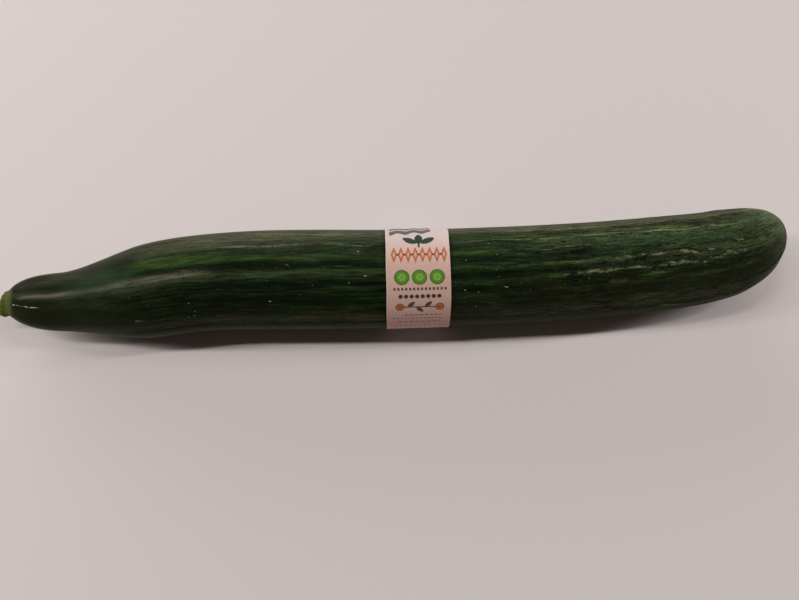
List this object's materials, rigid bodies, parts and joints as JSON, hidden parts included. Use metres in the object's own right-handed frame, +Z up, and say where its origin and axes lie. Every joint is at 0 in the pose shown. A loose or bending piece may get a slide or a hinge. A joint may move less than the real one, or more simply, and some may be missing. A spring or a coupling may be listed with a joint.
{
  "type": "cucumber",
  "caption": "Long greenhouse cucumber with its stem stub and a plain printed paper band, lying on its side.",
  "frame": {"origin": "on the surface that the cucumber rests on, under the middle of its box", "axes": "+X from the stem end to the blossom end, +Y away from the side that the picture shows, +Z up"},
  "size_m": [0.3888, 0.0558, 0.048],
  "materials": {
    "skin": "gloss",
    "stalk": "matte",
    "paper": "satin"
  },
  "bodies": {
    "root": {"fruit": "skin", "stem_stub": "stalk", "label_band": "paper"}
  },
  "joints": []
}
